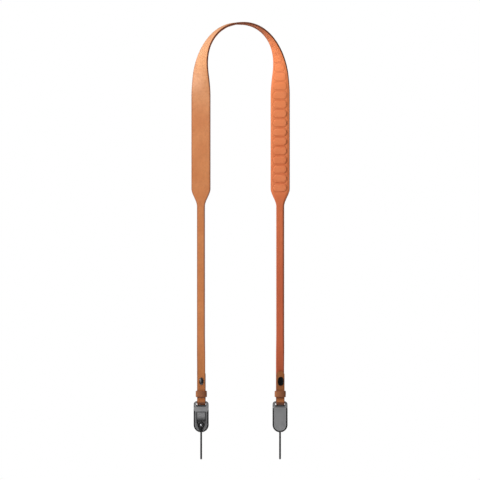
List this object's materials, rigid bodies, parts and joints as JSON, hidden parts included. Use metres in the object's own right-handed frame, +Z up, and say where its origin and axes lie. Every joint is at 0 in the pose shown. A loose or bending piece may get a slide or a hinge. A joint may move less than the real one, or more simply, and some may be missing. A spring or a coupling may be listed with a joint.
{
  "type": "camera neck strap",
  "caption": "Leather camera neck strap hung as an inverted U: padded shoulder part, tapered ends, keepers, studs, quick-release connectors and cord loops.",
  "frame": {"origin": "on the lining at the middle of the top of the arch, where the strap hangs", "axes": "+Z up, the legs hang towards -Z, +X towards the leg that shows the lining to the front, -Y towards the viewer of the picture"},
  "size_m": [0.1232, 0.0256, 0.5463],
  "materials": {
    "tan_leather": "smooth tan full-grain leather, dark painted edges",
    "orange_lining": "orange brushed microfibre with pressed pads",
    "black_gloss": "polished black metal",
    "black_satin": "satin black metal",
    "gunmetal": "fine satin gunmetal",
    "latch_grey": "satin grey metal",
    "black_plastic": "moulded black plastic",
    "bright_metal": "polished steel",
    "black_cord": "braided black cord"
  },
  "bodies": {
    "root": {"strap_leather": "tan_leather", "strap_lining": "orange_lining", "keeper_left": "tan_leather", "keeper_right": "tan_leather", "stud_dome_left": "black_gloss", "stud_dome_right": "black_gloss", "stud_cap_left": "black_satin", "stud_cap_right": "black_satin", "connector_housing_left": "gunmetal", "connector_housing_right": "gunmetal", "anchor_disc_left": "black_plastic", "anchor_disc_right": "black_plastic", "anchor_rivet_left": "bright_metal", "anchor_rivet_right": "bright_metal", "cord_loop_left": "black_cord", "cord_loop_right": "black_cord"},
    "latch_left": {"latch_plate_left": "latch_grey"},
    "latch_right": {"latch_plate_right": "latch_grey"}
  },
  "joints": [
    {"name": "latch_left_press", "type": "hinge", "parent": "root", "child": "latch_left", "pos_m": [-0.0493, -0.00415, -0.48431], "axis": [1, 0, 0], "range_deg": [0, 8], "stiffness_Nm_per_rad": 0.02},
    {"name": "latch_right_press", "type": "hinge", "parent": "root", "child": "latch_right", "pos_m": [0.0493, 0.00415, -0.48431], "axis": [-1, 0, 0], "range_deg": [0, 8], "stiffness_Nm_per_rad": 0.02}
  ]
}
